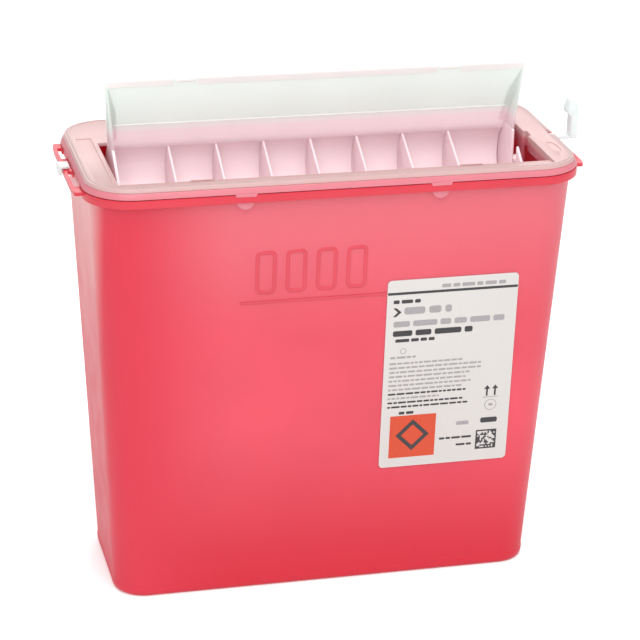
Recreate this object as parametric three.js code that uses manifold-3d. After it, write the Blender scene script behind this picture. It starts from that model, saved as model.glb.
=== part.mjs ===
// In-room sharps container of about five litres with a horizontal-drop lid.
// A drafted red tub carries a clear lid; a tray door turns on two pins in the lid's opening.
// Millimetres, +X to the right, +Y to the back, +Z up, origin at the centre of the flat base.
// The door stands open, the closure latch on the right stands up and the left clip is hooked on.

import * as THREE from "three";
import { mergeVertices } from "three/addons/utils/BufferGeometryUtils.js";
import Module from "manifold-3d";

const wasm = await Module();
wasm.setup();

// Tub: outlines are half widths with a corner radius.
const BASE = { hx: 113.6, hy: 42.3, r: 16.6 };
const NECK = { hx: 125.3, hy: 56.5, r: 20.8 };
const NECK_Z = 224.4;
const TUB_TOP = 230.1;
const WALL = 1.8;
const FLOOR = 2.2;

// Rim: a band round the neck with a carrying ear on each short side.
const RIM = { hx: 128.9, hy: 60.1, r: 24.0 };
const RIM_Z = [NECK_Z, 228.6];
const RIM_GAP = 0.35;
const EAR_ROOT = 126.9;
const EAR_REACH = 133.3;
const EAR_HALF = 39.5;
const EAR_RADIUS = 9;
const EAR_Z = [226.0, 227.8];
const EAR_LIP = { width: 1.4, z: [225.0, 227.8] };
const EAR_SLOT_X = [128.2, 131.6];
const EAR_SLOTS_Y = [[14.5, 32], [-30, -6]];

// Lid: a top panel with a stepped opening, and a skirt that flares down over the tub's neck.
const LID_TOP = { hx: 126.8, hy: 58.0, r: 22.7 };
const LID_LIP = { hx: 129.1, hy: 60.3, r: 25.0 };
const LID_Z = 234.0;
const PANEL = 1.8;
const LIP_Z = 229.0;
const SEAM = 0.1;
const OPENING = { x: 112.3, front: -45.5, back: 18.2 };
const LEDGE = { front: -52.8, top: 232.6, under: 231.0, wall: 0.8 };
const LABEL_RECESS = { x: [-122.4, -114.6], y: [-43, 27], depth: 0.5 };
const OVAL_RECESS = { x: 119.6, y: -29, halfX: 2.6, halfY: 9, depth: 0.5 };
const CHUTE_WALL = { x: [112.4, 113.9], y: [-45.2, 18], bottom: 225.8 };
const SNAP = { x: 50.3, halfWidth: 4.5, y: [57.7, 59.0], tip: 220.4, skirtHalf: 5.6, skirtDrop: 1.3 };
const SNAP_GAP = 0.4;

// Door: flap, tray and ribs turn together about the pin axis.
const PIVOT = { y: 4.9, z: 216.5 };
const TROUGH = { inner: 18.4, outer: 19.9, start: THREE.MathUtils.degToRad(53) };
const THICK = TROUGH.outer - TROUGH.inner;
const TRAY_LIP = { y: -42.0, z: 200.5 };
const FLAP_TOP = { y: -2.4, z: 273.0 };
const FLAP_FOOT = { y: 14.3, z: 236.6 };
const FOOT_STEP = 0.01;
const FLAP_HALF_TOP = 111.3;
const DOOR_HALF = 107.6;
const GUSSET_START = 4.5;
const GUSSET_FOOT = { y: 1.0, z: 235.2 };
const RIB_PITCH = 25.2;
const RIB_COUNT = 7;
const RIB_THICK = 1.2;
const FIT = 0.1;
const TAB = { x: 69.7, halfWidth: 5.2, start: 0.4, length: 2.2, height: 0.5 };
const DETENT = { halfWidth: 6, depth: 0.9, height: 0.6 };
const PIN = { r: 3.0, end: 114.6 };
const BORE = 3.1;
const LUG = { y: [0.3, 9.7], bottom: 211.8 };
const RIDGE = { z: 245.5, height: 0.5, width: 1.0 };

// Closure latch on the right and hooked clip on the left, both on living hinges along Y.
const LATCH = { y: [-7.5, -0.5], root: 124.55, arm: [230.5, 232.2], stem: [136.1, 140.1] };
const LATCH_HEAD = {
  inner: 133.7,
  catchZ: [242.8, 244.8],
  taperZ: 247.4,
  topInner: 135.5,
  top: 252.0,
  chamfer: 1.8,
};
const LATCH_CUT = { y: [-8.2, 0.2], pocketX: 114.3, edgeX: 124.3, edgeZ: 230.1, trayZ: 216.5 };
const CLIP = { y: [-3.5, 5.0], x: [129.9, 135.8], z: [228.3, 229.8], hook: 2.0, hookBottom: 225.0 };

// Print and moulded mark on the front wall.
const LABEL = { x: [25.6, 95.9], z: [66.2, 175.2], r: 2.3, thick: 0.3, gap: 0.15 };
const FILL_LINE = { x: [-51.6, 25.0], z: 168.2, height: 1.1, proud: 0.4 };

const CORNER_STEPS = 6;
const ROUND_STEPS = 48;
const MERGE = 1e-4;
const BEYOND = 10;

const QUARTER = Math.PI / 2;

const red = new THREE.MeshStandardMaterial({ color: 0xf0485c, roughness: 0.35, metalness: 0 });
const clear = new THREE.MeshStandardMaterial({ color: 0xecebe6, roughness: 0.4, metalness: 0 });
const paper = new THREE.MeshStandardMaterial({ color: 0xf4f3ef, roughness: 0.6, metalness: 0 });

// ---- solids ----

function solidOf(geometry) {
  const bare = geometry.clone();
  bare.deleteAttribute("normal");
  bare.deleteAttribute("uv");
  const merged = mergeVertices(bare, MERGE);
  return new wasm.Manifold(
    new wasm.Mesh({
      numProp: 3,
      vertProperties: merged.attributes.position.array,
      triVerts: new Uint32Array(merged.index.array),
    }),
  );
}

function geometryOf(solid) {
  const { vertProperties, triVerts } = solid.getMesh();
  const indexed = new THREE.BufferGeometry();
  indexed.setAttribute("position", new THREE.BufferAttribute(vertProperties, 3));
  indexed.setIndex(new THREE.BufferAttribute(triVerts, 1));
  const geometry = indexed.toNonIndexed();
  geometry.computeVertexNormals();
  return geometry;
}

function join(...geometries) {
  return geometryOf(geometries.map(solidOf).reduce((whole, part) => whole.add(part)));
}

function cut(body, ...tools) {
  return geometryOf(tools.map(solidOf).reduce((rest, tool) => rest.subtract(tool), solidOf(body)));
}

function block([x0, x1], [y0, y1], [z0, z1]) {
  const box = new THREE.BoxGeometry(x1 - x0, y1 - y0, z1 - z0);
  return box.translate((x0 + x1) / 2, (y0 + y1) / 2, (z0 + z1) / 2);
}

const mirrorRange = ([low, high]) => [-high, -low];

// The range itself on the right or at the back, mirrored on the left or at the front.
const sideRange = (range, side) => (side > 0 ? range : mirrorRange(range));

// ---- outlines ----

function roundedOutline({ hx, hy, r }) {
  const outline = new THREE.Shape();
  outline.absarc(hx - r, hy - r, r, 0, QUARTER);
  outline.absarc(r - hx, hy - r, r, QUARTER, 2 * QUARTER);
  outline.absarc(r - hx, r - hy, r, 2 * QUARTER, 3 * QUARTER);
  outline.absarc(hx - r, r - hy, r, 3 * QUARTER, 4 * QUARTER);
  return outline;
}

const inset = ({ hx, hy, r }, by) => ({ hx: hx - by, hy: hy - by, r: r - by });

function blend(low, high, share) {
  return {
    hx: THREE.MathUtils.lerp(low.hx, high.hx, share),
    hy: THREE.MathUtils.lerp(low.hy, high.hy, share),
    r: THREE.MathUtils.lerp(low.r, high.r, share),
  };
}

const tubOutline = (z) => blend(BASE, NECK, z / NECK_Z);

const lidOutline = (z) => blend(LID_LIP, LID_TOP, (z - LIP_Z) / (LID_Z - LIP_Z));

// A solid between two rounded outlines: every point keeps its direction from its corner's centre.
function loft(low, high, z0, z1) {
  const geometry = new THREE.ExtrudeGeometry(roundedOutline(low), {
    depth: z1 - z0,
    bevelEnabled: false,
    curveSegments: CORNER_STEPS,
  });
  const points = geometry.attributes.position;
  for (let i = 0; i < points.count; i++) {
    const x = points.getX(i);
    const y = points.getY(i);
    const onTop = points.getZ(i) > 0;
    const to = onTop ? high : low;
    const alongX = (Math.abs(x) - low.hx + low.r) / low.r;
    const alongY = (Math.abs(y) - low.hy + low.r) / low.r;
    points.setXYZ(
      i,
      Math.sign(x) * (to.hx - to.r + to.r * alongX),
      Math.sign(y) * (to.hy - to.r + to.r * alongY),
      onTop ? z1 : z0,
    );
  }
  return geometry;
}

function extrude(shape, depth) {
  return new THREE.ExtrudeGeometry(shape, {
    depth,
    bevelEnabled: false,
    curveSegments: 2 * CORNER_STEPS,
  });
}

// A side profile drawn in Y and Z, from x0 to x1.
function acrossX(shape, x0, x1) {
  const turn = new THREE.Matrix4().makeBasis(
    new THREE.Vector3(0, 1, 0),
    new THREE.Vector3(0, 0, 1),
    new THREE.Vector3(1, 0, 0),
  );
  return extrude(shape, x1 - x0).applyMatrix4(turn).translate(x0, 0, 0);
}

// A front profile drawn in X and Z, from y0 to y1.
function acrossY(shape, y0, y1) {
  const turn = new THREE.Matrix4().makeBasis(
    new THREE.Vector3(1, 0, 0),
    new THREE.Vector3(0, 0, 1),
    new THREE.Vector3(0, -1, 0),
  );
  return extrude(shape, y1 - y0).applyMatrix4(turn).translate(0, y1, 0);
}

function polygon(points) {
  const shape = new THREE.Shape();
  points.forEach(([a, b], i) => (i ? shape.lineTo(a, b) : shape.moveTo(a, b)));
  return shape;
}

function pieceOf(name, geometry, material) {
  const mesh = new THREE.Mesh(geometry, material);
  mesh.name = name;
  return mesh;
}

// ---- tub ----

function tubShell() {
  const outside = loft(tubOutline(0), tubOutline(TUB_TOP), 0, TUB_TOP);
  const hollowTop = TUB_TOP + BEYOND;
  const hollow = loft(
    inset(tubOutline(FLOOR), WALL),
    inset(tubOutline(hollowTop), WALL),
    FLOOR,
    hollowTop,
  );
  return cut(outside, hollow);
}

// One ear: a flat flange with a thicker outer edge and two slots.
function ear(side) {
  const outline = new THREE.Shape();
  outline.moveTo(EAR_ROOT, EAR_HALF);
  outline.lineTo(EAR_ROOT, -EAR_HALF);
  outline.lineTo(EAR_REACH - EAR_LIP.width, -EAR_HALF);
  outline.quadraticCurveTo(EAR_REACH, -EAR_HALF, EAR_REACH, EAR_RADIUS - EAR_HALF);
  outline.lineTo(EAR_REACH, EAR_HALF - EAR_RADIUS);
  outline.quadraticCurveTo(EAR_REACH, EAR_HALF, EAR_REACH - EAR_LIP.width, EAR_HALF);
  const flange = extrude(outline, EAR_Z[1] - EAR_Z[0]).translate(0, 0, EAR_Z[0]);
  const lip = block(
    [EAR_REACH - EAR_LIP.width, EAR_REACH],
    [EAR_RADIUS - EAR_HALF, EAR_HALF - EAR_RADIUS],
    EAR_LIP.z,
  );
  const whole = join(flange, lip);
  return side > 0 ? whole : whole.rotateZ(Math.PI);
}

function tubRim() {
  const height = RIM_Z[1] - RIM_Z[0];
  const band = extrude(roundedOutline(RIM), height).translate(0, 0, RIM_Z[0]);
  const bore = inset(tubOutline(RIM_Z[1]), -RIM_GAP);
  const core = extrude(roundedOutline(bore), height + 2 * BEYOND).translate(0, 0, RIM_Z[0] - BEYOND);
  const slots = [];
  for (const side of [-1, 1]) {
    for (const span of EAR_SLOTS_Y) {
      slots.push(block(sideRange(EAR_SLOT_X, side), span, [EAR_LIP.z[0] - BEYOND, RIM_Z[1] + BEYOND]));
    }
    for (const end of [-1, 1]) {
      const half = SNAP.halfWidth + SNAP_GAP;
      const across = [SNAP.y[0] - SNAP_GAP, SNAP.y[1] + SNAP_GAP];
      slots.push(
        block(
          [side * SNAP.x - half, side * SNAP.x + half],
          sideRange(across, end),
          [RIM_Z[0] - BEYOND, RIM_Z[1] + BEYOND],
        ),
      );
    }
  }
  return cut(join(band, ear(1), ear(-1)), core, ...slots);
}

// ---- lid ----

// The notch in the lid's right edge where the closure latch is hinged.
const edgeNotch = () =>
  block([LATCH_CUT.edgeX, RIM.hx + BEYOND], LATCH_CUT.y, [LATCH_CUT.edgeZ, LID_Z + BEYOND]);

function lidPanel() {
  const bottom = LID_Z - PANEL;
  const sheet = loft(lidOutline(bottom), LID_TOP, bottom, LID_Z);
  const ledge = block(
    [-OPENING.x, OPENING.x],
    [LEDGE.front - LEDGE.wall, OPENING.front],
    [LEDGE.under, LEDGE.top],
  );
  const ledgeCut = block(
    [-OPENING.x, OPENING.x],
    [LEDGE.front, OPENING.front + BEYOND],
    [LEDGE.top, LID_Z + BEYOND],
  );
  const opening = block(
    [-OPENING.x, OPENING.x],
    [OPENING.front, OPENING.back],
    [LEDGE.under - BEYOND, LID_Z + BEYOND],
  );
  const labelRecess = block(
    LABEL_RECESS.x,
    LABEL_RECESS.y,
    [LID_Z - LABEL_RECESS.depth, LID_Z + BEYOND],
  );
  const oval = new THREE.Shape();
  oval.absellipse(OVAL_RECESS.x, OVAL_RECESS.y, OVAL_RECESS.halfX, OVAL_RECESS.halfY, 0, 2 * Math.PI);
  const ovalRecess = extrude(oval, BEYOND).translate(0, 0, LID_Z - OVAL_RECESS.depth);
  const pocket = block([0, LATCH_CUT.pocketX], LATCH_CUT.y, [bottom - BEYOND, LID_Z + BEYOND]);
  return cut(join(sheet, ledge), ledgeCut, opening, labelRecess, ovalRecess, pocket, edgeNotch());
}

function lidSkirt() {
  const top = LID_Z - PANEL - SEAM;
  const outside = loft(LID_LIP, lidOutline(top), LIP_Z, top);
  const inside = loft(
    inset(lidOutline(LIP_Z - BEYOND), WALL),
    inset(lidOutline(top + BEYOND), WALL),
    LIP_Z - BEYOND,
    top + BEYOND,
  );
  return cut(outside, inside, edgeNotch());
}

// A wall under the lid at one end of the opening, with the lug that holds the door's pin.
function lidEndWall(side) {
  const top = LID_Z - PANEL - SEAM;
  const x = sideRange(CHUTE_WALL.x, side);
  const wall = block(x, CHUTE_WALL.y, [CHUTE_WALL.bottom, top]);
  const lug = block(x, LUG.y, [LUG.bottom, PIVOT.z + BEYOND]);
  const bore = new THREE.CylinderGeometry(BORE, BORE, BEYOND, ROUND_STEPS);
  bore.rotateZ(QUARTER).translate((x[0] + x[1]) / 2, PIVOT.y, PIVOT.z);
  const plain = cut(join(wall, lug), bore);
  if (side < 0) return plain;
  const [y0, y1] = LATCH_CUT.y;
  const thickness = CHUTE_WALL.x[1] - CHUTE_WALL.x[0];
  const pocket = block(
    [CHUTE_WALL.x[0], LATCH_CUT.pocketX + thickness],
    [y0 - thickness, y1 + thickness],
    [CHUTE_WALL.bottom, top],
  );
  const clearance = block(
    [CHUTE_WALL.x[0] - BEYOND, LATCH_CUT.pocketX],
    [y0, y1],
    [LUG.bottom, top + BEYOND],
  );
  return cut(join(plain, pocket), clearance);
}

function lidFrontWall() {
  const thickness = CHUTE_WALL.x[1] - CHUTE_WALL.x[0];
  return block(
    [-OPENING.x, OPENING.x],
    [OPENING.front - thickness, OPENING.front - SEAM],
    [CHUTE_WALL.bottom, LEDGE.under - SEAM],
  );
}

// A tongue that drops from the skirt through the rim and ends in a round tip under it.
function snapTab(side, end) {
  const tongue = new THREE.Shape();
  const low = SNAP.tip + SNAP.halfWidth;
  tongue.moveTo(SNAP.halfWidth, LIP_Z - SEAM);
  tongue.lineTo(-SNAP.halfWidth, LIP_Z - SEAM);
  tongue.absarc(0, low, SNAP.halfWidth, Math.PI, 2 * Math.PI);
  const [y0, y1] = sideRange(SNAP.y, end);
  return acrossY(tongue, y0, y1).translate(side * SNAP.x, 0, 0);
}

function ledgeDetent(side) {
  return block(
    [side * TAB.x - DETENT.halfWidth, side * TAB.x + DETENT.halfWidth],
    [OPENING.front - DETENT.depth, OPENING.front],
    [LEDGE.top + SEAM / 2, LEDGE.top + DETENT.height],
  );
}

// ---- door ----

const throughPivot = (radius, angle) => [
  PIVOT.y + radius * Math.cos(angle),
  PIVOT.z + radius * Math.sin(angle),
];

const flapLength = Math.hypot(FLAP_FOOT.y - FLAP_TOP.y, FLAP_TOP.z - FLAP_FOOT.z);
const flapDown = [
  (FLAP_FOOT.y - FLAP_TOP.y) / flapLength,
  (FLAP_FOOT.z - FLAP_TOP.z) / flapLength,
];

// A point on the flap: so far down from its top edge, and so far out of its front face.
const onFlap = (down, out) => [
  FLAP_TOP.y + down * flapDown[0] + out * flapDown[1],
  FLAP_TOP.z + down * flapDown[1] - out * flapDown[0],
];

const doorHalfAt = (z) =>
  DOOR_HALF +
  ((FLAP_HALF_TOP - DOOR_HALF) * Math.max(0, z - FLAP_FOOT.z)) / (FLAP_TOP.z - FLAP_FOOT.z);

function trayTrough() {
  const section = new THREE.Shape();
  section.absarc(PIVOT.y, PIVOT.z, TROUGH.outer, -QUARTER, TROUGH.start);
  section.absarc(PIVOT.y, PIVOT.z, TROUGH.inner, TROUGH.start, -QUARTER, true);
  section.lineTo(TRAY_LIP.y, TRAY_LIP.z);
  section.lineTo(TRAY_LIP.y, TRAY_LIP.z - THICK);
  const half = DOOR_HALF - THICK - FIT;
  return acrossX(section, -half, half);
}

// The space above the trough's floor, under a straight edge to the given points.
function sectorShape(points) {
  const radius = TROUGH.inner - FIT;
  const shape = new THREE.Shape();
  shape.absarc(PIVOT.y, PIVOT.z, radius, TROUGH.start, -QUARTER, true);
  shape.lineTo(TRAY_LIP.y, TRAY_LIP.z + FIT);
  points.forEach(([y, z]) => shape.lineTo(y, z));
  return shape;
}

function trayRib(index) {
  const x = (index - (RIB_COUNT - 1) / 2) * RIB_PITCH;
  return acrossX(sectorShape([]), x - RIB_THICK / 2, x + RIB_THICK / 2);
}

// The tray's end: it reaches past the trough's section and up to the flap's foot.
// The right one is notched so that the latch can fold over while the door stands open.
function trayEndWall(side) {
  const shape = new THREE.Shape();
  shape.absarc(PIVOT.y, PIVOT.z, TROUGH.outer, TROUGH.start, -QUARTER, true);
  shape.lineTo(TRAY_LIP.y, TRAY_LIP.z - THICK);
  shape.lineTo(TRAY_LIP.y, TRAY_LIP.z + 2 * THICK);
  shape.lineTo(GUSSET_FOOT.y, GUSSET_FOOT.z - FIT);
  shape.lineTo(FLAP_FOOT.y - 2 * FIT, FLAP_FOOT.z - FIT);
  shape.lineTo(...throughPivot(TROUGH.inner - FIT, TROUGH.start));
  const [x0, x1] = sideRange([DOOR_HALF - THICK, DOOR_HALF], side);
  const wall = acrossX(shape, x0, x1);
  if (side < 0) return wall;
  return cut(wall, block([x0 - BEYOND, x1 + BEYOND], LATCH_CUT.y, [LATCH_CUT.trayZ, LID_Z + BEYOND]));
}

function doorFlap() {
  const [footY, footZ] = onFlap(flapLength, -THICK);
  const section = polygon([
    throughPivot(TROUGH.inner, TROUGH.start + FOOT_STEP),
    throughPivot(TROUGH.outer, TROUGH.start + FOOT_STEP),
    [footY, footZ],
    [FLAP_TOP.y + THICK / -flapDown[1], FLAP_TOP.z],
    [FLAP_TOP.y, FLAP_TOP.z],
    [FLAP_FOOT.y, FLAP_FOOT.z],
  ]);
  const flap = acrossX(section, -1, 1);
  const points = flap.attributes.position;
  for (let i = 0; i < points.count; i++) {
    points.setX(i, points.getX(i) * doorHalfAt(points.getZ(i)));
  }
  const down = ((FLAP_TOP.z - RIDGE.z) / (FLAP_TOP.z - FLAP_FOOT.z)) * flapLength;
  const ridge = acrossX(
    polygon([
      onFlap(down - RIDGE.width / 2, -THICK / 2),
      onFlap(down + RIDGE.width / 2, -THICK / 2),
      onFlap(down + RIDGE.width / 2, RIDGE.height),
      onFlap(down - RIDGE.width / 2, RIDGE.height),
    ]),
    THICK + FIT - DOOR_HALF,
    DOOR_HALF - THICK - FIT,
  );
  return join(flap, ridge);
}

// A triangular side wall from the flap's edge to a nearly upright front edge.
function doorGusset(side) {
  const shape = polygon([
    onFlap(GUSSET_START, FIT),
    [GUSSET_FOOT.y, GUSSET_FOOT.z + FIT],
    onFlap(flapLength, FIT),
  ]);
  const [x0, x1] = sideRange([DOOR_HALF - THICK, DOOR_HALF], side);
  const wall = acrossX(shape, x0, x1);
  const points = wall.attributes.position;
  for (let i = 0; i < points.count; i++) {
    points.setX(i, points.getX(i) + side * (doorHalfAt(points.getZ(i)) - DOOR_HALF));
  }
  return wall;
}

function doorTab(side) {
  const section = polygon([
    onFlap(TAB.start, FIT / 2),
    onFlap(TAB.start, TAB.height),
    onFlap(TAB.length, TAB.height),
    onFlap(TAB.length + TAB.height, FIT / 2),
  ]);
  return acrossX(section, side * TAB.x - TAB.halfWidth, side * TAB.x + TAB.halfWidth);
}

function pivotPin(side) {
  const from = DOOR_HALF + FIT;
  const pin = new THREE.CylinderGeometry(PIN.r, PIN.r, PIN.end - from, ROUND_STEPS);
  return pin.rotateZ(QUARTER).translate((side * (from + PIN.end)) / 2, PIVOT.y, PIVOT.z);
}

// ---- latch and clip ----

function latchArm() {
  return block([LATCH.root, LATCH.stem[0] - FIT], LATCH.y, LATCH.arm);
}

function latchHook() {
  const [inner, outer] = LATCH.stem;
  const { top, chamfer, catchZ, taperZ } = LATCH_HEAD;
  const profile = polygon([
    [inner, LATCH.arm[0]],
    [outer, LATCH.arm[0]],
    [outer, top - chamfer],
    [outer - chamfer, top],
    [LATCH_HEAD.topInner, top],
    [LATCH_HEAD.inner, taperZ],
    [LATCH_HEAD.inner, catchZ[1]],
    [inner, catchZ[0]],
  ]);
  return acrossY(profile, ...LATCH.y);
}

function sideClip() {
  const [near, far] = CLIP.x;
  const [low, high] = CLIP.z;
  const profile = polygon([
    [-near, low],
    [-near, high],
    [-far, high],
    [-far, CLIP.hookBottom],
    [CLIP.hook - far, CLIP.hookBottom],
    [CLIP.hook - far, low],
  ]);
  return acrossY(profile, ...CLIP.y);
}

// ---- label and fill line, laid on the sloping front wall ----

const slope = Math.atan((NECK.hy - BASE.hy) / NECK_Z);
const frontAt = (z) => -THREE.MathUtils.lerp(BASE.hy, NECK.hy, z / NECK_Z);

// Turns a plate drawn flat into the plane of the front wall, its back so far in front of it.
function ontoFront(plate, x, z, gap) {
  return plate.rotateX(QUARTER + slope).translate(x, frontAt(z) - gap / Math.cos(slope), z);
}

function frontLabel() {
  const [x0, x1] = LABEL.x;
  const [z0, z1] = LABEL.z;
  const outline = { hx: (x1 - x0) / 2, hy: (z1 - z0) / 2 / Math.cos(slope), r: LABEL.r };
  const plate = extrude(roundedOutline(outline), LABEL.thick);
  return ontoFront(plate, (x0 + x1) / 2, (z0 + z1) / 2, LABEL.gap);
}

function fillLine() {
  const [x0, x1] = FILL_LINE.x;
  const bar = new THREE.BoxGeometry(x1 - x0, FILL_LINE.height, FILL_LINE.proud);
  return ontoFront(bar.translate(0, 0, FILL_LINE.proud / 2), (x0 + x1) / 2, FILL_LINE.z, FIT);
}

// ---- assembly ----

const sharpsContainer = new THREE.Group();

const tub = new THREE.Group();
tub.add(pieceOf("tub_shell", tubShell(), red));
tub.add(pieceOf("tub_rim", tubRim(), red));
tub.add(pieceOf("fill_line", fillLine(), red));
tub.add(pieceOf("front_label", frontLabel(), paper));
sharpsContainer.add(tub);

const SIDES = [
  ["left", -1],
  ["right", 1],
];
const ENDS = [
  ["front", -1],
  ["rear", 1],
];

const lid = new THREE.Group();
lid.add(pieceOf("lid_panel", lidPanel(), clear));
lid.add(pieceOf("lid_skirt", lidSkirt(), clear));
lid.add(pieceOf("lid_front_wall", lidFrontWall(), clear));
for (const [sideName, side] of SIDES) {
  lid.add(pieceOf("lid_end_wall_" + sideName, lidEndWall(side), clear));
  lid.add(pieceOf("lid_detent_" + sideName, ledgeDetent(side), clear));
  for (const [endName, end] of ENDS) {
    lid.add(pieceOf("lid_snap_" + endName + "_" + sideName, snapTab(side, end), clear));
  }
}
sharpsContainer.add(lid);

const door = new THREE.Group();
door.add(pieceOf("door_flap", doorFlap(), clear));
door.add(pieceOf("tray_trough", trayTrough(), clear));
for (let i = 0; i < RIB_COUNT; i++) {
  door.add(pieceOf("tray_rib_" + (i + 1), trayRib(i), clear));
}
for (const [sideName, side] of SIDES) {
  door.add(pieceOf("tray_end_wall_" + sideName, trayEndWall(side), clear));
  door.add(pieceOf("door_gusset_" + sideName, doorGusset(side), clear));
  door.add(pieceOf("door_tab_" + sideName, doorTab(side), clear));
  door.add(pieceOf("pivot_pin_" + sideName, pivotPin(side), clear));
}
sharpsContainer.add(door);

const closures = new THREE.Group();
closures.add(pieceOf("latch_arm", latchArm(), clear));
closures.add(pieceOf("latch_hook", latchHook(), clear));
closures.add(pieceOf("side_clip", sideClip(), clear));
sharpsContainer.add(closures);

export default sharpsContainer;
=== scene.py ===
import math
import random

import bmesh
import bpy
from mathutils import Matrix, Vector


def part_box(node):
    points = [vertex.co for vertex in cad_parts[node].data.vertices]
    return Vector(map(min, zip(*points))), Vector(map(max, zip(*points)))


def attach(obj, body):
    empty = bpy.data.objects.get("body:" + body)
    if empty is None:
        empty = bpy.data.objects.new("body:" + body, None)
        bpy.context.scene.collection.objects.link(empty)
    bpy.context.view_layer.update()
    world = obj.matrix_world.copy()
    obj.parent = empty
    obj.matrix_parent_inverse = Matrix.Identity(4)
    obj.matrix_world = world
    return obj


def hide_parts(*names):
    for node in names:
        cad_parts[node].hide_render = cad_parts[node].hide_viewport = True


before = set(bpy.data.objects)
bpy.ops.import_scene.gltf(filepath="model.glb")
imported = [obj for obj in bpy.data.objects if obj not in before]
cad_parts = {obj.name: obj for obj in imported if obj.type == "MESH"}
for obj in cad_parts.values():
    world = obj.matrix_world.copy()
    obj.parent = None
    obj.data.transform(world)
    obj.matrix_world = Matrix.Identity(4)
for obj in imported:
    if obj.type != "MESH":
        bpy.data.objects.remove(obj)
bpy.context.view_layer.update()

MM = 0.001
QUARTER = math.pi / 2
TAU = 2 * math.pi
IMAGE = 640  # the picture's width and height, in pixels

scene = bpy.context.scene

pin_low, pin_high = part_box("pivot_pin_left")
PIN_AXIS = (pin_low + pin_high) / 2

# ---------------------------------------------------------------- camera, light and floor

CAMERA = {"azimuth": -14.1, "elevation": 22.08, "roll": 1.27, "distance": 1.3097, "focal_px": 2446.4}
TARGET = Vector((0.0036, 0.0, 0.1340))
SENSOR = 36.0
NEAREST = 0.05
WORLD_STRENGTH = 0.78
FLOOR_HALF = 4
# Round lamps: name, place, the point aimed at, diameter in metres, watts.
LAMPS = (
    ("key", (-0.45, -1.35, 1.55), (0, 0, 0.2), 1.1, 15),
    ("top", (0.1, -0.6, 1.6), (0, 0, 0.2), 1.0, 10),
    ("rear", (0.3, 1.3, 1.1), (0, 0, 0.25), 1.2, 10),
)


def add_camera():
    azimuth = math.radians(CAMERA["azimuth"])
    elevation = math.radians(CAMERA["elevation"])
    roll = math.radians(CAMERA["roll"])
    back = Vector(
        (
            math.sin(azimuth) * math.cos(elevation),
            -math.cos(azimuth) * math.cos(elevation),
            math.sin(elevation),
        )
    )
    right = Vector((0, 0, 1)).cross(back).normalized()
    up = back.cross(right)
    rolled_right = math.cos(roll) * right + math.sin(roll) * up
    rolled_up = math.cos(roll) * up - math.sin(roll) * right
    data = bpy.data.cameras.new("camera")
    data.sensor_width = SENSOR
    data.lens = CAMERA["focal_px"] * SENSOR / IMAGE
    data.clip_start = NEAREST
    camera = bpy.data.objects.new("camera", data)
    turn = Matrix((rolled_right, rolled_up, back)).transposed().to_4x4()
    camera.matrix_world = Matrix.Translation(TARGET + back * CAMERA["distance"]) @ turn
    scene.collection.objects.link(camera)
    scene.camera = camera


def add_light(name, place, aim, size, watts):
    data = bpy.data.lights.new(name, "AREA")
    data.shape = "DISK"
    data.size = size
    data.energy = watts
    light = bpy.data.objects.new(name, data)
    light.location = place
    light.rotation_euler = (Vector(aim) - Vector(place)).to_track_quat("-Z", "Y").to_euler()
    scene.collection.objects.link(light)


def add_studio():
    world = bpy.data.worlds.new("studio")
    world.use_nodes = True
    background = world.node_tree.nodes["Background"]
    background.inputs["Color"].default_value = (1.0, 1.0, 1.0, 1)
    background.inputs["Strength"].default_value = WORLD_STRENGTH
    scene.world = world
    scene.view_settings.view_transform = "Standard"
    for lamp in LAMPS:
        add_light(*lamp)
    bm = bmesh.new()
    bmesh.ops.create_grid(bm, x_segments=8, y_segments=8, size=FLOOR_HALF)
    mesh = bpy.data.meshes.new("floor")
    bm.to_mesh(mesh)
    bm.free()
    floor = bpy.data.objects.new("floor", mesh)
    scene.collection.objects.link(floor)
    mesh.materials.append(floor_material())


# ---------------------------------------------------------------- materials


def blank_material(name):
    material = bpy.data.materials.new(name)
    material.use_nodes = True
    tree = material.node_tree
    tree.nodes.clear()
    output = tree.nodes.new("ShaderNodeOutputMaterial")
    shader = tree.nodes.new("ShaderNodeBsdfPrincipled")
    tree.links.new(shader.outputs[0], output.inputs["Surface"])
    return material, tree, shader


def object_point(tree):
    return tree.nodes.new("ShaderNodeTexCoord").outputs["Object"]


def noise(tree, point, scale, detail=3.0, roughness=0.5):
    node = tree.nodes.new("ShaderNodeTexNoise")
    node.inputs["Scale"].default_value = scale
    node.inputs["Detail"].default_value = detail
    node.inputs["Roughness"].default_value = roughness
    tree.links.new(point, node.inputs["Vector"])
    return node.outputs["Fac"]


def remap(tree, value, from_low, from_high, to_low, to_high, smooth=False):
    node = tree.nodes.new("ShaderNodeMapRange")
    if smooth:
        node.interpolation_type = "SMOOTHSTEP"
    tree.links.new(value, node.inputs["Value"])
    node.inputs["From Min"].default_value = from_low
    node.inputs["From Max"].default_value = from_high
    node.inputs["To Min"].default_value = to_low
    node.inputs["To Max"].default_value = to_high
    return node.outputs["Result"]


def mix_colour(tree, share, first, second):
    node = tree.nodes.new("ShaderNodeMix")
    node.data_type = "RGBA"
    tree.links.new(share, node.inputs["Factor"])
    for socket, colour in (("A", first), ("B", second)):
        target = next(s for s in node.inputs if s.name == socket and s.type == "RGBA")
        if isinstance(colour, tuple):
            target.default_value = (*colour, 1)
        else:
            tree.links.new(colour, target)
    return next(s for s in node.outputs if s.type == "RGBA")


def axis_of(tree, point, axis):
    node = tree.nodes.new("ShaderNodeSeparateXYZ")
    tree.links.new(point, node.inputs[0])
    return node.outputs[axis]


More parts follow.
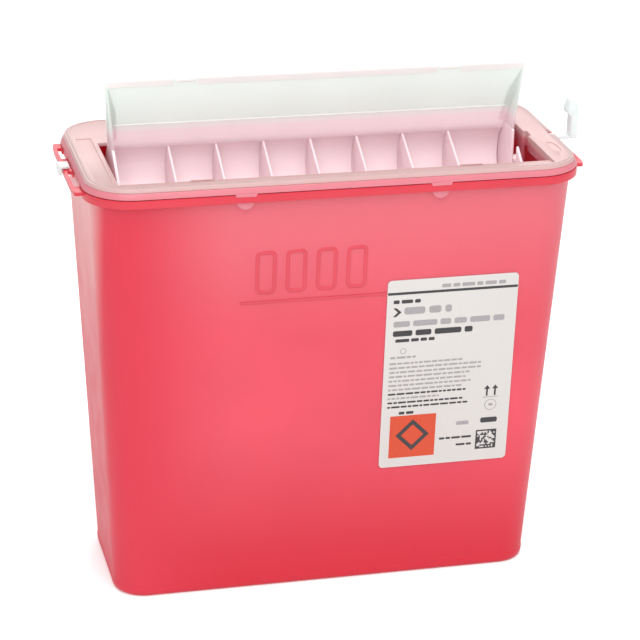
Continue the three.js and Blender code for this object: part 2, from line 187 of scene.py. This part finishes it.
def reach_of(tree, point):
    """The distance from the door's pin axis; in front of the axis, only the depth below it."""
    flat = tree.nodes.new("ShaderNodeVectorMath")
    flat.operation = "MULTIPLY"
    flat.inputs[1].default_value = (0.0, 1.0, 1.0)
    tree.links.new(point, flat.inputs[0])
    behind = tree.nodes.new("ShaderNodeVectorMath")
    behind.operation = "MAXIMUM"
    behind.inputs[1].default_value = (0.0, PIN_AXIS.y, 0.0)
    tree.links.new(flat.outputs["Vector"], behind.inputs[0])
    away = tree.nodes.new("ShaderNodeVectorMath")
    away.operation = "DISTANCE"
    away.inputs[1].default_value = (0.0, PIN_AXIS.y, PIN_AXIS.z)
    tree.links.new(behind.outputs["Vector"], away.inputs[0])
    return away.outputs["Value"]


def bump(tree, height, strength, distance, normal=None):
    node = tree.nodes.new("ShaderNodeBump")
    node.inputs["Strength"].default_value = strength
    node.inputs["Distance"].default_value = distance
    tree.links.new(height, node.inputs["Height"])
    if normal is not None:
        tree.links.new(normal, node.inputs["Normal"])
    return node.outputs["Normal"]


def srgb(red, green, blue):
    def linear(value):
        value /= 255
        return value / 12.92 if value <= 0.04045 else ((value + 0.055) / 1.055) ** 2.4

    return tuple(round(linear(v), 4) for v in (red, green, blue))


PLASTIC_IOR = 1.49
# Each relief is a strength and a depth in metres.
FLOW_WAVES = (0.10, 0.0006)
FINE_GRAIN = (0.25, 0.00006)
PRINT_GRAIN = (0.25, 0.00003)
FLOOR_TONES = ((0.955, 0.955, 0.955), (0.97, 0.97, 0.97))
FLOOR_GLOW = 0.12


# Moulded plastic: slow colour drift, a slightly uneven gloss, faint flow waves and a fine texture.
# The glow is the share of the surface that passes on the light from its far side.
# A stop blends in a tint between two places on an axis, or between two distances from the door's pins. The
# stops given to the tub, the flap and the tray below are painted light and shade.
# Each surface's roughness keeps to one side of 0.27, as dark specks were seen where one crossed it.
def moulded(name, colour, gloss, transmission, glow, drift=0.05, specular=0.5, stops=()):
    material, tree, shader = blank_material(name)
    point = object_point(tree)
    cloud = noise(tree, point, 18, 2)
    base = mix_colour(
        tree,
        remap(tree, cloud, 0.3, 0.7, 0.0, 1.0),
        tuple(c * (1 - drift) for c in colour),
        tuple(min(1.0, c * (1 + drift)) for c in colour),
    )
    for axis, low, high, tint in stops:
        along = reach_of(tree, point) if axis == "REACH" else axis_of(tree, point, axis)
        share = remap(tree, along, low, high, 0.0, 1.0, smooth=True)
        base = mix_colour(tree, share, base, tint)
    tree.links.new(base, shader.inputs["Base Color"])
    patches = noise(tree, point, 60, 4)
    tree.links.new(remap(tree, patches, 0.3, 0.7, gloss - 0.04, gloss + 0.05), shader.inputs["Roughness"])
    waves = bump(tree, noise(tree, point, 25, 2), *FLOW_WAVES)
    fine = bump(tree, noise(tree, point, 1600, 3, 0.6), *FINE_GRAIN, waves)
    tree.links.new(fine, shader.inputs["Normal"])
    shader.inputs["IOR"].default_value = PLASTIC_IOR
    shader.inputs["Transmission Weight"].default_value = transmission
    shader.inputs["Specular IOR Level"].default_value = specular
    behind = tree.nodes.new("ShaderNodeBsdfTranslucent")
    tree.links.new(base, behind.inputs["Color"])
    tree.links.new(fine, behind.inputs["Normal"])
    both = tree.nodes.new("ShaderNodeMixShader")
    both.inputs[0].default_value = glow
    tree.links.new(shader.outputs[0], both.inputs[1])
    tree.links.new(behind.outputs[0], both.inputs[2])
    output = next(n for n in tree.nodes if n.type == "OUTPUT_MATERIAL")
    tree.links.new(both.outputs[0], output.inputs["Surface"])
    return material


def floor_material():
    material, tree, shader = blank_material("floor")
    point = object_point(tree)
    share = remap(tree, noise(tree, point, 3, 2), 0.3, 0.7, 0.0, 1.0)
    tree.links.new(mix_colour(tree, share, *FLOOR_TONES), shader.inputs["Base Color"])
    shader.inputs["Roughness"].default_value = 0.7
    shader.inputs["Specular IOR Level"].default_value = 0.1
    shader.inputs["Emission Color"].default_value = (1.0, 1.0, 1.0, 1)
    shader.inputs["Emission Strength"].default_value = FLOOR_GLOW
    return material


# A film or a printed ink: a fine mottle, patches of gloss and a fine texture.
def printed(name, colour, gloss, mottle=0.06):
    material, tree, shader = blank_material(name)
    point = object_point(tree)
    share = remap(tree, noise(tree, point, 900, 4, 0.65), 0.35, 0.65, 0.0, 1.0)
    low = tuple(c * (1 - mottle) for c in colour)
    high = tuple(min(1.0, c * (1 + mottle)) for c in colour)
    tree.links.new(mix_colour(tree, share, low, high), shader.inputs["Base Color"])
    patches = noise(tree, point, 200, 3)
    tree.links.new(remap(tree, patches, 0.3, 0.7, gloss - 0.06, gloss + 0.06), shader.inputs["Roughness"])
    tree.links.new(bump(tree, noise(tree, point, 2400, 4, 0.7), *PRINT_GRAIN), shader.inputs["Normal"])
    shader.inputs["Specular IOR Level"].default_value = 0.4
    return material


TUB_RED = srgb(235, 91, 108)
# Painted light: the tub's wall is painted paler towards its top, for the light that shines through it from
# inside.
TUB_TOP_PAINTED_LIGHT = srgb(232, 117, 130)
# Painted shade: the tub's wall is painted darker towards its foot.
TUB_FOOT_PAINTED_SHADE = srgb(221, 54, 71)
# Painted shade: the tub is painted darker towards its left end.
TUB_LEFT_PAINTED_SHADE = srgb(226, 65, 84)
# Painted light: the upper part of the tub's left end, where it stands furthest out, is painted pale.
TUB_LEFT_END_PAINTED_LIGHT = srgb(240, 172, 172)
RIM_RED = srgb(212, 52, 68)
FROSTED = srgb(243, 249, 246)
FROSTED_PINK = srgb(230, 196, 194)
SKIRT_PINK = srgb(226, 134, 146)
# The tray's milky near-white plastic with painted pink light: a pink tint for the red light from the tub
# that reaches it.
TRAY_WHITE_AND_PAINTED_PINK = srgb(255, 238, 241)
# Painted pink light, a little stronger lower down the tray.
TRAY_DEEP_PAINTED_PINK = srgb(255, 234, 239)
# Painted pink light: the flap's foot is painted pink, for the red light from the tub that shines through it.
FLAP_FOOT_PAINTED_PINK_LIGHT = srgb(255, 244, 247)
# The ribs' and tray end walls' milky near-white plastic, with a painted pink tint for the red light from the
# tub.
RIB_WHITE_AND_PAINTED_PINK = srgb(254, 232, 237)
# Painted shade: the tray's outer side is painted darker.
TRAY_BACK_PAINTED_SHADE = srgb(206, 168, 170)
MARK_RED = srgb(212, 68, 84)
# Painted light: a paler strip across the flap just above its pink foot.
FLAP_STRIP_PAINTED_LIGHT = srgb(252, 250, 250)
BAND_WHITE = srgb(252, 254, 252)
CLOSURE_WHITE = srgb(236, 243, 242)
LABEL_WHITE = srgb(196, 193, 190)
INK_BLACK = srgb(52, 50, 52)
INK_GREY = srgb(150, 146, 147)
INK_ORANGE = srgb(193, 66, 34)
# The tray's painted shade on its outer side comes in between these distances from the door's pins.
TRAY_INNER = 18.7 * MM
TRAY_OUTER = 19.7 * MM

tub_red = moulded(
    "tub_red_plastic",
    TUB_RED,
    gloss=0.34,
    transmission=0.0,
    glow=0.32,
    specular=0.3,
    stops=[
        # painted light, paler towards the top
        ("Z", 0.14, 0.225, TUB_TOP_PAINTED_LIGHT),
        # painted shade, darker towards the foot
        ("Z", 0.10, 0.0, TUB_FOOT_PAINTED_SHADE),
        # painted shade, darker towards the left end
        ("X", -0.05, -0.112, TUB_LEFT_PAINTED_SHADE),
        # painted light, pale on the upper left end
        ("X", -0.1190, -0.1262, TUB_LEFT_END_PAINTED_LIGHT),
    ],
)
rim_red = moulded("rim_red_plastic", RIM_RED, gloss=0.34, transmission=0.0, glow=0.15)
lid_clear = moulded(
    "lid_clear_plastic",
    FROSTED_PINK,
    gloss=0.34,
    transmission=0.20,
    glow=0.30,
    drift=0.02,
    stops=[("Z", 0.2320, 0.2290, SKIRT_PINK)],
)
skirt_clear = moulded("lid_skirt_plastic", SKIRT_PINK, gloss=0.34, transmission=0.10, glow=0.20, drift=0.02)
mark_red = moulded("raised_mark_plastic", MARK_RED, gloss=0.36, transmission=0.0, glow=0.15)
door_clear = moulded(
    "door_clear_plastic",
    FROSTED,
    gloss=0.35,
    transmission=0.12,
    glow=0.50,
    drift=0.015,
    # painted light on the flap's lower part: a paler strip, then a pink foot
    stops=[("Z", 0.2465, 0.2440, FLAP_STRIP_PAINTED_LIGHT), ("Z", 0.2430, 0.2412, FLAP_FOOT_PAINTED_PINK_LIGHT)],
)
tray_clear = moulded(
    "tray_clear_plastic",
    # milky near-white with a painted pink tint of red light from the tub
    TRAY_WHITE_AND_PAINTED_PINK,
    gloss=0.21,
    transmission=0.0,
    glow=0.08,
    drift=0.015,
    specular=0.7,
    # painted pink light deeper down the tray, and painted shade on the tray's outer side
    stops=[("Z", 0.214, 0.198, TRAY_DEEP_PAINTED_PINK), ("REACH", TRAY_INNER, TRAY_OUTER, TRAY_BACK_PAINTED_SHADE)],
)
# milky near-white with painted pink light from the red tub
rib_clear = moulded("tray_rib_plastic", RIB_WHITE_AND_PAINTED_PINK, gloss=0.33, transmission=0.0, glow=0.15, drift=0.015)
band_clear = moulded("flap_band_plastic", BAND_WHITE, gloss=0.34, transmission=0.0, glow=0.12, drift=0.01)
thick_clear = moulded(
    "closure_clear_plastic",
    CLOSURE_WHITE,
    gloss=0.34,
    transmission=0.20,
    glow=0.36,
    drift=0.015,
)
label_white = printed("label_film", LABEL_WHITE, gloss=0.42, mottle=0.015)
ink_black = printed("label_ink_black", INK_BLACK, gloss=0.5)
ink_grey = printed("label_ink_grey", INK_GREY, gloss=0.5)
ink_orange = printed("label_ink_orange", INK_ORANGE, gloss=0.45)

# ---------------------------------------------------------------- mesh tools


def ring(outline, z, steps=16):
    """Points round a rounded rectangle (half x, half y, corner radius), counter-clockwise, at height z."""
    hx, hy, r = outline
    points = []
    for corner, (sx, sy) in enumerate(((1, 1), (-1, 1), (-1, -1), (1, -1))):
        for i in range(steps + 1):
            angle = corner * QUARTER + QUARTER * i / steps
            points.append(
                Vector((sx * (hx - r) + r * math.cos(angle), sy * (hy - r) + r * math.sin(angle), z))
            )
    return points


def grown(outline, by):
    hx, hy, r = outline
    return (hx + by, hy + by, max(r + by, 0.2 * MM))


def between(low, high, share):
    return tuple(a + (b - a) * share for a, b in zip(low, high))


def finish_mesh(name, bm, material, body, smooth_angle, replaces=()):
    bmesh.ops.recalc_face_normals(bm, faces=bm.faces)
    mesh = bpy.data.meshes.new(name)
    bm.to_mesh(mesh)
    bm.free()
    obj = bpy.data.objects.new(name, mesh)
    scene.collection.objects.link(obj)
    mesh.materials.append(material)
    mesh.polygons.foreach_set("use_smooth", [True] * len(mesh.polygons))
    bpy.context.view_layer.update()
    mesh.set_sharp_from_angle(angle=math.radians(smooth_angle))
    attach(obj, body)
    if replaces:
        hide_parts(*replaces)


def skin(bm, rings, closed=False):
    """Quads between neighbouring rings, with a face over the first and the last unless closed."""
    loops = [[bm.verts.new(p) for p in points] for points in rings]
    pairs = list(zip(loops, loops[1:]))
    if closed:
        pairs.append((loops[-1], loops[0]))
    for a, b in pairs:
        count = len(a)
        for i in range(count):
            j = (i + 1) % count
            bm.faces.new((a[i], a[j], b[j], b[i]))
    if not closed:
        bm.faces.new(reversed(loops[0]))
        bm.faces.new(loops[-1])


def apply_modifiers(obj):
    bpy.context.view_layer.update()
    graph = bpy.context.evaluated_depsgraph_get()
    mesh = bpy.data.meshes.new_from_object(obj.evaluated_get(graph))
    obj.modifiers.clear()
    old = obj.data
    obj.data = mesh
    bpy.data.meshes.remove(old)


# A copied CAD node: points this close are one, and angles under FLAT are flat, over EDGE get rounded,
# and over SHARP stay sharp in the shading.
WELD = 1e-6
FLAT = math.radians(0.6)
EDGE = math.radians(28)
SHARP = math.radians(40)


def rounded_copy(node, name, material, body, width, segments):
    """A copy of a CAD node with its flat faces merged and its edges rounded; it stands for the node."""
    bm = bmesh.new()
    bm.from_mesh(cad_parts[node].data)
    bmesh.ops.remove_doubles(bm, verts=bm.verts, dist=WELD)
    bmesh.ops.dissolve_limit(bm, angle_limit=FLAT, verts=bm.verts, edges=bm.edges)
    bmesh.ops.recalc_face_normals(bm, faces=bm.faces)
    mesh = bpy.data.meshes.new(name)
    bm.to_mesh(mesh)
    bm.free()
    obj = bpy.data.objects.new(name, mesh)
    scene.collection.objects.link(obj)
    mesh.materials.append(material)
    bevel = obj.modifiers.new("round", "BEVEL")
    bevel.width = width
    bevel.segments = segments
    bevel.limit_method = "ANGLE"
    bevel.angle_limit = EDGE
    bevel.use_clamp_overlap = True
    bevel.harden_normals = False
    apply_modifiers(obj)
    mesh = obj.data
    mesh.polygons.foreach_set("use_smooth", [True] * len(mesh.polygons))
    mesh.set_sharp_from_angle(angle=SHARP)
    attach(obj, body)
    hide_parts(node)


LEVEL = 0.05 * MM  # points this near to a height are at it


def outline_at(node, z):
    """The rounded outline of a CAD node's outermost points at a height."""
    level = [v.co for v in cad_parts[node].data.vertices if abs(v.co.z - z) < LEVEL]
    hx = max(abs(p.x) for p in level)
    hy = max(abs(p.y) for p in level)
    flat = max(abs(p.x) for p in level if abs(abs(p.y) - hy) < LEVEL)
    return (hx, hy, hx - flat)


# ---------------------------------------------------------------- tub

TUB_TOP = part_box("tub_shell")[1].z
TUB_BASE = outline_at("tub_shell", 0.0)
TUB_BRIM = outline_at("tub_shell", TUB_TOP)
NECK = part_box("tub_rim")[0].z
WALL = 1.8 * MM
FOOT_HEIGHT = 4.6 * MM
FOOT_PROUD = 0.35 * MM
FOOT_ROUND = 2.6 * MM
BEAD_HEIGHT = 2.6 * MM
BEAD_PROUD = 0.30 * MM
UNDERSIDE = (60, 30, 12)  # the flat underside's rings, in percent in from its edge
FOOT_END = 1.2
FOOT_TAPER = ((1.0, 1.0), (0.75, 1.05), (0.25, 1.13), (0.0, FOOT_END))  # shares of its proudness and height
BEAD_SHAPE = ((0.0, 0.0), (0.3, 0.15), (0.8, 0.35), (1.0, 0.6), (1.0, 3.2))  # share proud, and mm up
INNER_FLOOR = 2.2 * MM
INNER_ROUND = 5.0 * MM
INNER_FOOT = 12 * MM  # the plain inner wall ends half a wall's thickness below this height
FLOOR_RINGS = (0.85, 0.6, 0.3)


def tub_outline(z):
    return between(TUB_BASE, TUB_BRIM, z / TUB_TOP)


def add_tub():
    rings = []
    for inset in UNDERSIDE:
        shrunk = grown(TUB_BASE, FOOT_PROUD - FOOT_ROUND)
        share = 1 - inset / 100
        rings.append(ring((shrunk[0] * share, shrunk[1] * share, shrunk[2] * share), 0.0))
    arc_steps = 6
    for i in range(arc_steps + 1):
        angle = QUARTER * i / arc_steps
        out = FOOT_PROUD - FOOT_ROUND * (1 - math.sin(angle))
        z = FOOT_ROUND * (1 - math.cos(angle))
        rings.append(ring(grown(tub_outline(z), out), z))
    for out, z in FOOT_TAPER:
        height = FOOT_HEIGHT * z
        rings.append(ring(grown(tub_outline(height), FOOT_PROUD * out), height))
    bead = NECK - BEAD_HEIGHT
    foot = FOOT_HEIGHT * FOOT_END
    steps = 10
    for i in range(1, steps):
        z = foot + (bead - foot) * i / steps
        rings.append(ring(tub_outline(z), z))
    for out, lift in BEAD_SHAPE:
        z = bead + lift * MM
        rings.append(ring(grown(tub_outline(z), BEAD_PROUD * out), z))
    edge = WALL / 2
    for i in range(0, 9):
        angle = math.pi * i / 8
        z = TUB_TOP - edge + edge * math.sin(angle)
        rings.append(ring(grown(tub_outline(z), edge * (math.cos(angle) - 1)), z))
    for i in range(1, 9):
        z = TUB_TOP - edge - (TUB_TOP - INNER_FOOT) * i / 8
        rings.append(ring(grown(tub_outline(z), -WALL), z))
    for i in range(0, 7):
        angle = QUARTER * i / 6
        z = INNER_FLOOR + INNER_ROUND * (1 - math.sin(angle))
        rings.append(ring(grown(tub_outline(z), -WALL - INNER_ROUND * (1 - math.cos(angle))), z))
    inner = grown(tub_outline(INNER_FLOOR), -WALL - INNER_ROUND)
    for share in FLOOR_RINGS:
        rings.append(ring(tuple(v * share for v in inner), INNER_FLOOR))
    bm = bmesh.new()
    skin(bm, rings)
    finish_mesh("tub_moulding", bm, tub_red, "container", smooth_angle=50, replaces=["tub_shell"])


# ---------------------------------------------------------------- lid

LID_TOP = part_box("lid_panel")[1].z
LIP_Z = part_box("lid_skirt")[0].z
LIP_OUTLINE = outline_at("lid_skirt", LIP_Z)
LID_OUTLINE = outline_at("lid_panel", LID_TOP)
SKIRT_TAB = {"x": 50.3 * MM, "top": 5.75 * MM, "foot": 4.9 * MM, "drop": 1.4 * MM, "depth": 0.17 * MM}


def add_skirt_tab(side, end):
    """The small tongue of the skirt's lip that hangs over the rim above a snap."""
    rings = []
    outside = LIP_OUTLINE[1]
    for depth in (SKIRT_TAB["depth"], 0.0):
        y = end * (outside - depth)
        rings.append(
            [
                Vector((side * SKIRT_TAB["x"] + half, y, z))
                for half, z in (
                    (-SKIRT_TAB["top"], LIP_Z + 0.3 * MM),
                    (-SKIRT_TAB["foot"], LIP_Z - SKIRT_TAB["drop"]),
                    (SKIRT_TAB["foot"], LIP_Z - SKIRT_TAB["drop"]),
                    (SKIRT_TAB["top"], LIP_Z + 0.3 * MM),
                )
            ]
        )
    bm = bmesh.new()
    skin(bm, rings)
    name = ("front" if end < 0 else "rear") + ("_left" if side < 0 else "_right")
    finish_mesh(f"lid_skirt_tab_{name}", bm, skirt_clear, "container", smooth_angle=30)


# A low bead along the lid's top edge: how far in from the edge, and how high.
LID_BEAD = ((0.9 * MM, 0.0), (1.15 * MM, 0.28 * MM), (2.05 * MM, 0.28 * MM), (2.3 * MM, 0.0))
LATCH_GAP = (-9.2 * MM, 1.2 * MM)


def add_lid_bead():
    """The bead runs round the lid and stops on both sides of the closure latch."""
    lines = []
    for inward, rise in LID_BEAD:
        outline = grown(LID_OUTLINE, -inward)
        z = LID_TOP + rise
        start = Vector((outline[0], LATCH_GAP[1], z))
        end = Vector((outline[0], LATCH_GAP[0], z))
        lines.append([start, *ring(outline, z), end])
    bm = bmesh.new()
    skin(bm, list(zip(*lines)))
    finish_mesh("lid_edge_bead", bm, lid_clear, "container", smooth_angle=50)


def add_lid():
    add_lid_bead()
    for side in (-1, 1):
        for end in (-1, 1):
            add_skirt_tab(side, end)
    rounded_copy("lid_panel", "lid_top", lid_clear, "container", 0.55 * MM, 3)
    rounded_copy("lid_skirt", "lid_skirt_moulding", skirt_clear, "container", 0.5 * MM, 3)
    rounded_copy("lid_front_wall", "lid_front_wall_moulding", lid_clear, "container", 0.3 * MM, 2)
    for side in ("left", "right"):
        for node, width in ((f"lid_end_wall_{side}", 0.3 * MM), (f"lid_detent_{side}", 0.2 * MM)):
            rounded_copy(node, f"{node}_moulding", lid_clear, "container", width, 2)
        for end in ("front", "rear"):
            node = f"lid_snap_{end}_{side}"
            rounded_copy(node, f"{node}_moulding", skirt_clear, "container", 0.3 * MM, 2)


# ---------------------------------------------------------------- door

FLAP_TOP = Vector((-2.4, 273.0)) * MM  # y and z of the flap's front face at its top edge
FLAP_FOOT = Vector((14.3, 236.6)) * MM
FLAP_LENGTH = (FLAP_FOOT - FLAP_TOP).length
FLAP_DOWN = (FLAP_FOOT - FLAP_TOP).normalized()
DOOR_HALF = 107.6 * MM
DOOR_HALF_TOP = 111.3 * MM
DOOR_THICK = 1.5 * MM
BAND_DEPTH = 4.8 * MM
BAND_PROUD = 0.20 * MM
BAND_START = 0.25 * MM
BAND_EDGE = 0.12 * MM
BAND_SHORT = 0.6 * MM
TAB_X = 69.7 * MM
TAB_CLEAR = 6.2 * MM
CORNER_ROUND = 3.4 * MM
GUSSET_START = 4.5 * MM
GUSSET_REACH = 13.0 * MM
RIBS = 7


def on_flap(x, down, out):
    place = FLAP_TOP + FLAP_DOWN * down
    return Vector((x, place.x + out * FLAP_DOWN.y, place.y - out * FLAP_DOWN.x))


def half_at(down):
    return DOOR_HALF_TOP + (DOOR_HALF - DOOR_HALF_TOP) * down / FLAP_LENGTH


def add_flap_band():
    """The thicker band along the flap's top edge, broken round the two tabs."""
    bm = bmesh.new()
    profile = (
        (BAND_START, 0.0),
        (BAND_START + BAND_EDGE, BAND_PROUD),
        (BAND_DEPTH - BAND_EDGE, BAND_PROUD),
        (BAND_DEPTH, 0.0),
    )
    end = half_at(BAND_DEPTH) - BAND_SHORT
    spans = ((-end, -TAB_X - TAB_CLEAR), (-TAB_X + TAB_CLEAR, TAB_X - TAB_CLEAR), (TAB_X + TAB_CLEAR, end))
    for x0, x1 in spans:
        stations = (x0, x0 + BAND_EDGE, x1 - BAND_EDGE, x1)
        rings = []
        for i, x in enumerate(stations):
            lift = 0.15 if i in (0, 3) else 1.0
            rings.append([on_flap(x, down, out * lift) for down, out in profile])
        skin(bm, rings)
    finish_mesh("door_flap_band", bm, band_clear, "door", smooth_angle=30)


def add_flap_corner(side):
    """The hollow round between the flap and its side wall."""
    steps = 8
    arc = 8
    rings = []
    for i in range(steps + 1):
        share = i / steps
        down = GUSSET_START + 1.5 * MM + (FLAP_LENGTH - GUSSET_START - 1.7 * MM) * share
        reach = GUSSET_REACH * (down - GUSSET_START) / (FLAP_LENGTH - GUSSET_START)
        radius = min(CORNER_ROUND, 0.6 * reach)
        wall = half_at(down) - DOOR_THICK
        points = [on_flap(side * wall, down, 0.0)]
        for k in range(arc + 1):
            angle = QUARTER * k / arc
            points.append(
                on_flap(side * (wall - radius * (1 - math.cos(angle))), down, radius * (1 - math.sin(angle)))
            )
        rings.append(points)
    bm = bmesh.new()
    skin(bm, rings)
    name = "left" if side < 0 else "right"
    finish_mesh(f"door_corner_{name}", bm, door_clear, "door", smooth_angle=50)


def add_door():
    rounded_copy("door_flap", "door_flap_moulding", door_clear, "door", 0.4 * MM, 3)
    rounded_copy("tray_trough", "tray_trough_moulding", tray_clear, "door", 0.4 * MM, 3)
    for i in range(1, RIBS + 1):
        rounded_copy(f"tray_rib_{i}", f"tray_rib_{i}_moulding", rib_clear, "door", 0.35 * MM, 2)
    for side in ("left", "right"):
        for node, material in (
            ("tray_end_wall", rib_clear),
            ("door_gusset", door_clear),
            ("door_tab", band_clear),
            ("pivot_pin", tray_clear),
        ):
            name = f"{node}_{side}"
            rounded_copy(name, f"{name}_moulding", material, "door", 0.3 * MM, 2)
    add_flap_band()
    for side in (-1, 1):
        add_flap_corner(side)


def add_closures():
    rounded_copy("latch_arm", "latch_arm_moulding", thick_clear, "latch", 0.4 * MM, 3)
    rounded_copy("latch_hook", "latch_hook_moulding", thick_clear, "latch", 0.8 * MM, 4)
    rounded_copy("side_clip", "side_clip_moulding", thick_clear, "clip", 0.45 * MM, 3)


def add_rim():
    rounded_copy("tub_rim", "tub_rim_moulding", rim_red, "container", 0.45 * MM, 3)
    rounded_copy("fill_line", "fill_line_moulding", mark_red, "container", 0.15 * MM, 2)
    rounded_copy("front_label", "front_label_film", label_white, "container", 0.05 * MM, 2)


# ---------------------------------------------------------------- print on the label and the raised mark

FRONT_SLOPE = math.atan2(TUB_BRIM[1] - TUB_BASE[1], TUB_TOP)
LABEL_LOW, LABEL_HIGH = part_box("front_label")
LABEL_FACE = 0.45 * MM  # the label's face, out from the wall
INK = 0.05 * MM
MARK = {"x": -14.9 * MM, "z": 184.5 * MM, "half_x": 5.6 * MM, "half_z": 12.0 * MM, "pitch": 15.8 * MM}
MARK_LINE = 2.3 * MM
MARK_PROUD = 0.35 * MM
MARK_CORNER = 3.4 * MM
MARK_FRAMES = 4
SEED = 7
RING_STEPS = 40
# The small print and the square code, in mm from the label's top left corner.
TEXT_ENDS = (43, 54, 53, 47, 45, 48, 43, 46, 31, 45, 47)
TEXT_BOLD = (7, 9, 10)
TEXT = {"start": 3.0, "top": 47.2, "pitch": 2.55, "height": 1.05}
CODE = {"cells": 14, "side": 11.4, "u": 52.8, "v": 90.9}
ARROWS = (57.4, 61.8)


def on_front(x, z, out):
    """A point so far out from the sloping front wall, at the wall's height z."""
    y = -tub_outline(z)[1]
    return Vector((x, y - out * math.cos(FRONT_SLOPE), z - out * math.sin(FRONT_SLOPE)))


def on_label(u, v, out):
    """A point of the label, from its top left corner, so far out from its face."""
    return on_front(LABEL_LOW.x + u, LABEL_HIGH.z - v, LABEL_FACE + out)


def ink_shape(bm, outline):
    """A thin flat shape on the label; its outline is convex, in mm from the label's top left corner."""
    skin(bm, [[on_label(u * MM, v * MM, out) for u, v in outline] for out in (0.1 * INK, INK)])


def ink_bar(bm, u0, u1, v0, v1):
    soft = 0.2 * (v1 - v0)
    ink_shape(
        bm,
        (
            (u0 + soft, v0),
            (u0, v0 + soft),
            (u0, v1 - soft),
            (u0 + soft, v1),
            (u1 - soft, v1),
            (u1, v1 - soft),
            (u1, v0 + soft),
            (u1 - soft, v0),
        ),
    )


def ink_row(bm, draw, u0, u1, v0, v1):
    """A row of plain dashes of uneven length: it stands for a line of print and spells nothing."""
    height = v1 - v0
    u = u0
    while u < u1 - 0.6 * height:
        length = min(draw.uniform(1.4, 4.6) * height, u1 - u)
        ink_bar(bm, u, u + length, v0, v1)
        u += length + 0.55 * height


def ink_ring(bm, u, v, outer, inner):
    for i in range(RING_STEPS):
        a = TAU * i / RING_STEPS
        b = TAU * (i + 1) / RING_STEPS
        ink_shape(
            bm,
            (
                (u + outer * math.cos(a), v + outer * math.sin(a)),
                (u + outer * math.cos(b), v + outer * math.sin(b)),
                (u + inner * math.cos(b), v + inner * math.sin(b)),
                (u + inner * math.cos(a), v + inner * math.sin(a)),
            ),
        )


def add_print():
    """The label's print, in mm from its top left corner: across from and to, then down from and to."""
    draw = random.Random(SEED)
    black = bmesh.new()
    grey = bmesh.new()
    orange = bmesh.new()
    width = (LABEL_HIGH.x - LABEL_LOW.x) / MM
    ink_row(grey, draw, 29.0, 63.5, 3.6, 5.6)
    ink_bar(black, 0.25, width - 0.25, 6.8, 8.2)
    ink_row(black, draw, 3.5, 19.0, 11.2, 13.2)
    ink_shape(black, ((3.5, 15.6), (5.2, 15.6), (8.0, 18.1), (5.2, 20.6), (3.5, 20.6), (6.0, 18.1)))
    ink_row(grey, draw, 9.5, 35.0, 15.6, 19.6)
    ink_row(grey, draw, 4.0, 64.0, 23.4, 26.6)
    ink_row(black, draw, 4.0, 47.0, 28.8, 32.0)
    ink_row(black, draw, 5.5, 27.0, 33.6, 35.4)
    ink_ring(grey, 10.0, 40.6, 1.7, 1.35)
    ink_row(grey, draw, 3.2, 17.0, 43.6, 44.8)
    for row, end in enumerate(TEXT_ENDS):
        top = TEXT["top"] + TEXT["pitch"] * row
        ink = black if row in TEXT_BOLD else grey
        ink_row(ink, draw, TEXT["start"], end, top, top + TEXT["height"])
    ink_row(black, draw, 9.5, 17.5, 76.2, 77.8)
    ink_row(grey, draw, 41.5, 50.5, 84.6, 86.8)
    ink_row(black, draw, 54.8, 64.0, 83.6, 86.6)
    ink_row(black, draw, 32.5, 51.5, 93.6, 94.8)
    ink_row(black, draw, 42.0, 50.5, 98.0, 99.2)
    for u in ARROWS:
        ink_shape(black, ((u - 1.7, 66.6), (u, 64.4), (u + 1.7, 66.6)))
        ink_bar(black, u - 0.4, u + 0.4, 66.4, 70.6)
    ink_bar(grey, 55.4, 63.8, 71.2, 71.6)
    ink_ring(grey, 59.8, 76.0, 3.3, 2.95)
    ink_bar(grey, 58.6, 61.0, 75.3, 76.7)
    cells = CODE["cells"]
    cell = CODE["side"] / cells
    for i in range(cells):
        for k in range(cells):
            if i in (0, cells - 1) or k in (0, cells - 1) or draw.random() < 0.5:
                u = CODE["u"] + i * cell
                v = CODE["v"] + k * cell
                ink_shape(black, ((u, v), (u, v + cell), (u + cell, v + cell), (u + cell, v)))
    ink_shape(orange, ((5.0, 78.6), (5.0, 103.6), (30.1, 103.6), (30.1, 78.6)))
    finish_mesh("label_print_black", black, ink_black, "container", smooth_angle=30)
    finish_mesh("label_print_grey", grey, ink_grey, "container", smooth_angle=30)
    finish_mesh("label_panel_orange", orange, ink_orange, "container", smooth_angle=30)
    add_panel_mark()


def add_panel_mark():
    """A plain hollow diamond on the orange panel."""
    centre_u, centre_v = 17.5 * MM, 90.4 * MM

    def diamond(reach, out):
        return [
            on_label(centre_u + du * reach, centre_v + dv * reach, out)
            for du, dv in ((0, -1), (-1, 0), (0, 1), (1, 0))
        ]

    outer, inner = 9.2 * MM, 6.2 * MM
    bm = bmesh.new()
    section = ((outer, INK), (outer, 2 * INK), (inner, 2 * INK), (inner, INK))
    skin(bm, [diamond(reach, out) for reach, out in section], closed=True)
    finish_mesh("label_panel_mark", bm, ink_black, "container", smooth_angle=30)


def add_raised_mark():
    """Four plain raised frames above the fill line."""
    bm = bmesh.new()
    soft = 0.35
    sunk = -0.05
    line = MARK_LINE / MM
    proud = MARK_PROUD / MM
    sections = ((0.0, sunk), (soft, proud), (line - soft, proud), (line, sunk))
    for index in range(MARK_FRAMES):
        centre = MARK["x"] + (index - (MARK_FRAMES - 1) / 2) * MARK["pitch"]
        rings = []
        for inward, out in sections:
            outline = tuple(v - inward * MM for v in (MARK["half_x"], MARK["half_z"], MARK_CORNER))
            rings.append([on_front(centre + p.x, MARK["z"] + p.y, out * MM) for p in ring(outline, 0.0, 6)])
        skin(bm, rings, closed=True)
    finish_mesh("raised_mark", bm, mark_red, "container", smooth_angle=60)


add_camera()
add_studio()
add_tub()
add_rim()
add_lid()
add_door()
add_closures()
add_print()
add_raised_mark()
